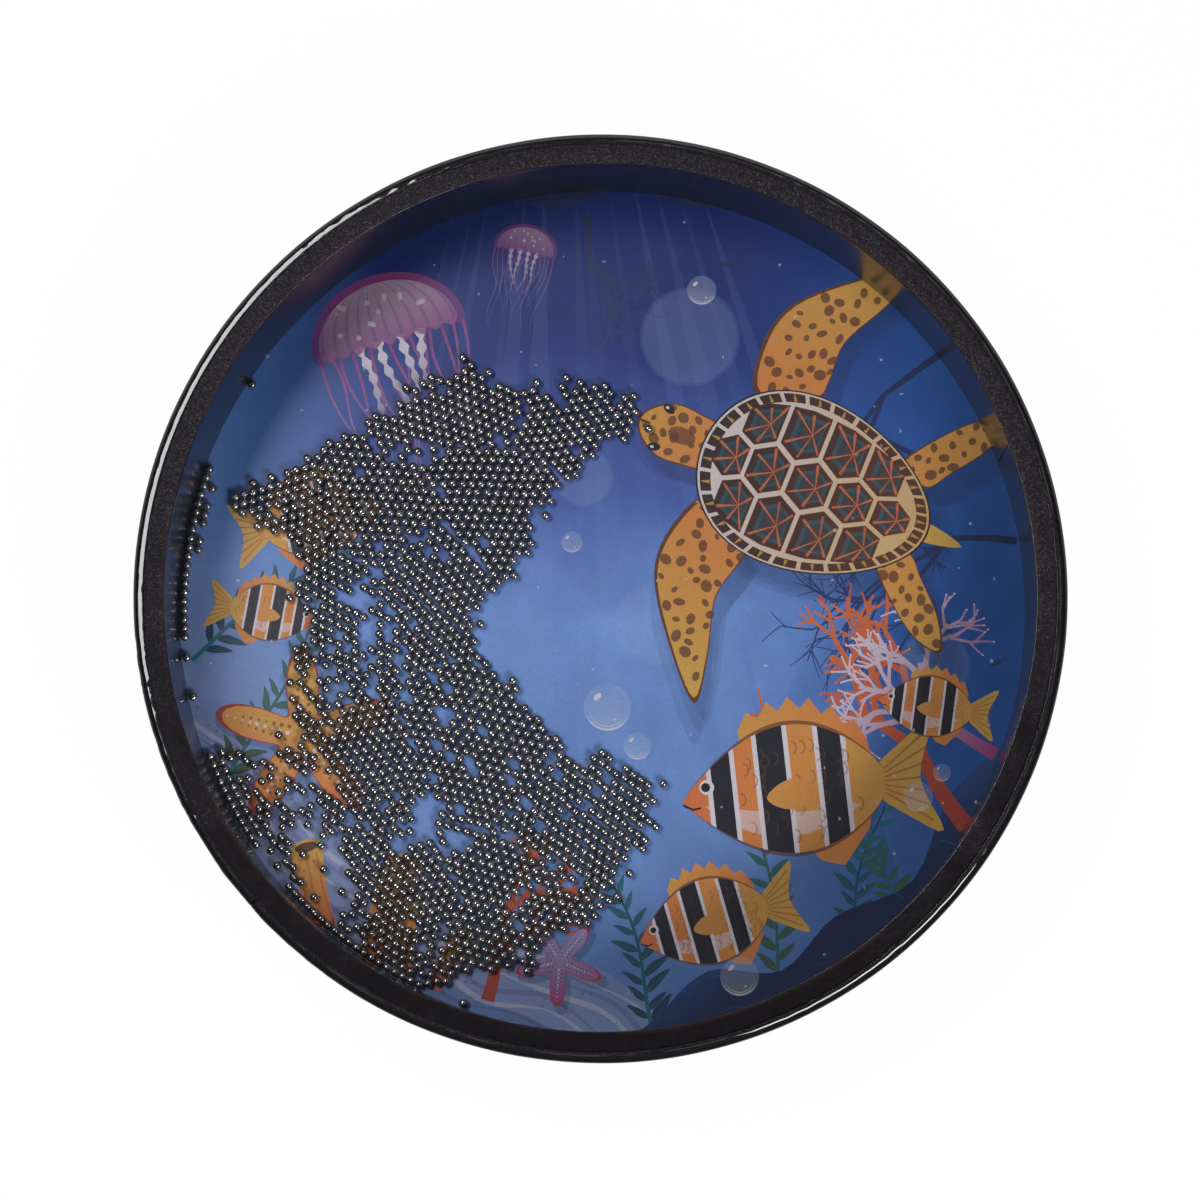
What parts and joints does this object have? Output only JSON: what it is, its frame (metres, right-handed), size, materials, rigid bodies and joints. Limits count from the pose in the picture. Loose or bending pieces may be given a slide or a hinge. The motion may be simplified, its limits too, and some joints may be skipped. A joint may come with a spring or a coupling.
{
  "type": "ocean drum",
  "caption": "Shallow round drum with a clear film head over a printed film head and loose steel balls between them, tilted by hand so that the rolling balls sound like surf.",
  "frame": {"origin": "centre of the underside, on the drum's axis, in the plane that the drum lies on", "axes": "+Z along the drum's axis, from the printed head up through the clear head; +Y away from the player, the picture's up; +X to the right"},
  "size_m": [0.305, 0.305, 0.045],
  "materials": {
    "hoop_fibre": "black-stained pressed wood fibre, matte",
    "inner_foil": "glossy black decor foil",
    "printed_film": "opaque printed film, satin",
    "clear_film": "clear film, glossy",
    "adhesive": "cured contact adhesive",
    "edge_vinyl": "glossy black self-adhesive vinyl",
    "steel_shot": "polished bearing steel"
  },
  "bodies": {
    "drum": {"shell": "hoop_fibre", "inner_lining": "inner_foil", "lower_head": "printed_film", "lower_bond": "adhesive", "upper_bond": "adhesive", "upper_head": "clear_film", "edge_wrap": "edge_vinyl"},
    "wall_shot": {"wall_shot_left": "steel_shot", "wall_shot_lower": "steel_shot"},
    "shot_bed": {"shot_middle": "steel_shot"},
    "patch_top_right": {"shot_top_right": "steel_shot"},
    "patch_top": {"shot_top": "steel_shot"},
    "patch_upper_middle": {"shot_upper_middle": "steel_shot"},
    "patch_far_left": {"shot_far_left": "steel_shot"},
    "patch_upper_left": {"shot_upper_left": "steel_shot"},
    "patch_left": {"shot_left": "steel_shot"},
    "patch_lower_left": {"shot_lower_left": "steel_shot"},
    "patch_lower_middle": {"shot_lower_middle": "steel_shot"},
    "patch_wall_side": {"shot_wall_side": "steel_shot"},
    "patch_bottom_left": {"shot_bottom_left": "steel_shot"},
    "patch_lower_right": {"shot_lower_right": "steel_shot"},
    "patch_bottom": {"shot_bottom": "steel_shot"},
    "stray_upper_wall": {"stray_upper_wall": "steel_shot"},
    "stray_left_wall": {"stray_left_wall": "steel_shot"},
    "stray_bottom_wall": {"stray_bottom_wall": "steel_shot"},
    "stray_right": {"stray_right": "steel_shot"},
    "stray_middle": {"stray_middle": "steel_shot"},
    "stray_top_right": {"stray_top_right": "steel_shot"},
    "stray_top": {"stray_top": "steel_shot"}
  },
  "joints": [
    {"name": "swirl", "type": "hinge", "parent": "drum", "child": "wall_shot", "pos_m": [0, 0, 0], "axis": [0, 0, 1], "continuous": true},
    {"name": "sweep", "type": "slide", "parent": "wall_shot", "child": "shot_bed", "axis": [0.9659, 0.2588, 0], "range_m": [0, 0.085]},
    {"name": "hop_top_right", "type": "slide", "parent": "shot_bed", "child": "patch_top_right", "axis": [0, 0, 1], "range_m": [0, 0.04]},
    {"name": "hop_top", "type": "slide", "parent": "shot_bed", "child": "patch_top", "axis": [0, 0, 1], "range_m": [0, 0.04]},
    {"name": "hop_upper_middle", "type": "slide", "parent": "shot_bed", "child": "patch_upper_middle", "axis": [0, 0, 1], "range_m": [0, 0.04]},
    {"name": "hop_far_left", "type": "slide", "parent": "shot_bed", "child": "patch_far_left", "axis": [0, 0, 1], "range_m": [0, 0.04]},
    {"name": "hop_upper_left", "type": "slide", "parent": "shot_bed", "child": "patch_upper_left", "axis": [0, 0, 1], "range_m": [0, 0.04]},
    {"name": "hop_left", "type": "slide", "parent": "shot_bed", "child": "patch_left", "axis": [0, 0, 1], "range_m": [0, 0.04]},
    {"name": "hop_lower_left", "type": "slide", "parent": "shot_bed", "child": "patch_lower_left", "axis": [0, 0, 1], "range_m": [0, 0.04]},
    {"name": "hop_lower_middle", "type": "slide", "parent": "shot_bed", "child": "patch_lower_middle", "axis": [0, 0, 1], "range_m": [0, 0.04]},
    {"name": "hop_wall_side", "type": "slide", "parent": "shot_bed", "child": "patch_wall_side", "axis": [0, 0, 1], "range_m": [0, 0.04]},
    {"name": "hop_bottom_left", "type": "slide", "parent": "shot_bed", "child": "patch_bottom_left", "axis": [0, 0, 1], "range_m": [0, 0.04]},
    {"name": "hop_lower_right", "type": "slide", "parent": "shot_bed", "child": "patch_lower_right", "axis": [0, 0, 1], "range_m": [0, 0.04]},
    {"name": "hop_bottom", "type": "slide", "parent": "shot_bed", "child": "patch_bottom", "axis": [0, 0, 1], "range_m": [0, 0.04]},
    {"name": "roll_upper_wall", "type": "hinge", "parent": "wall_shot", "child": "stray_upper_wall", "pos_m": [0, 0, 0], "axis": [0, 0, 1], "range_deg": [-150, 11]},
    {"name": "roll_left_wall", "type": "hinge", "parent": "wall_shot", "child": "stray_left_wall", "pos_m": [0, 0, 0], "axis": [0, 0, 1], "range_deg": [-3, 6]},
    {"name": "roll_bottom_wall", "type": "hinge", "parent": "wall_shot", "child": "stray_bottom_wall", "pos_m": [0, 0, 0], "axis": [0, 0, 1], "range_deg": [-2.5, 75]},
    {"name": "roll_right", "type": "slide", "parent": "shot_bed", "child": "stray_right", "axis": [0.9659, 0.2588, 0], "range_m": [0, 0.025]},
    {"name": "roll_middle", "type": "slide", "parent": "shot_bed", "child": "stray_middle", "axis": [1, 0, 0], "range_m": [0, 0.04]},
    {"name": "roll_top_right", "type": "slide", "parent": "shot_bed", "child": "stray_top_right", "axis": [0.7071, -0.7071, 0], "range_m": [0, 0.015]},
    {"name": "roll_top", "type": "slide", "parent": "shot_bed", "child": "stray_top", "axis": [0, 1, 0], "range_m": [0, 0.02]}
  ]
}
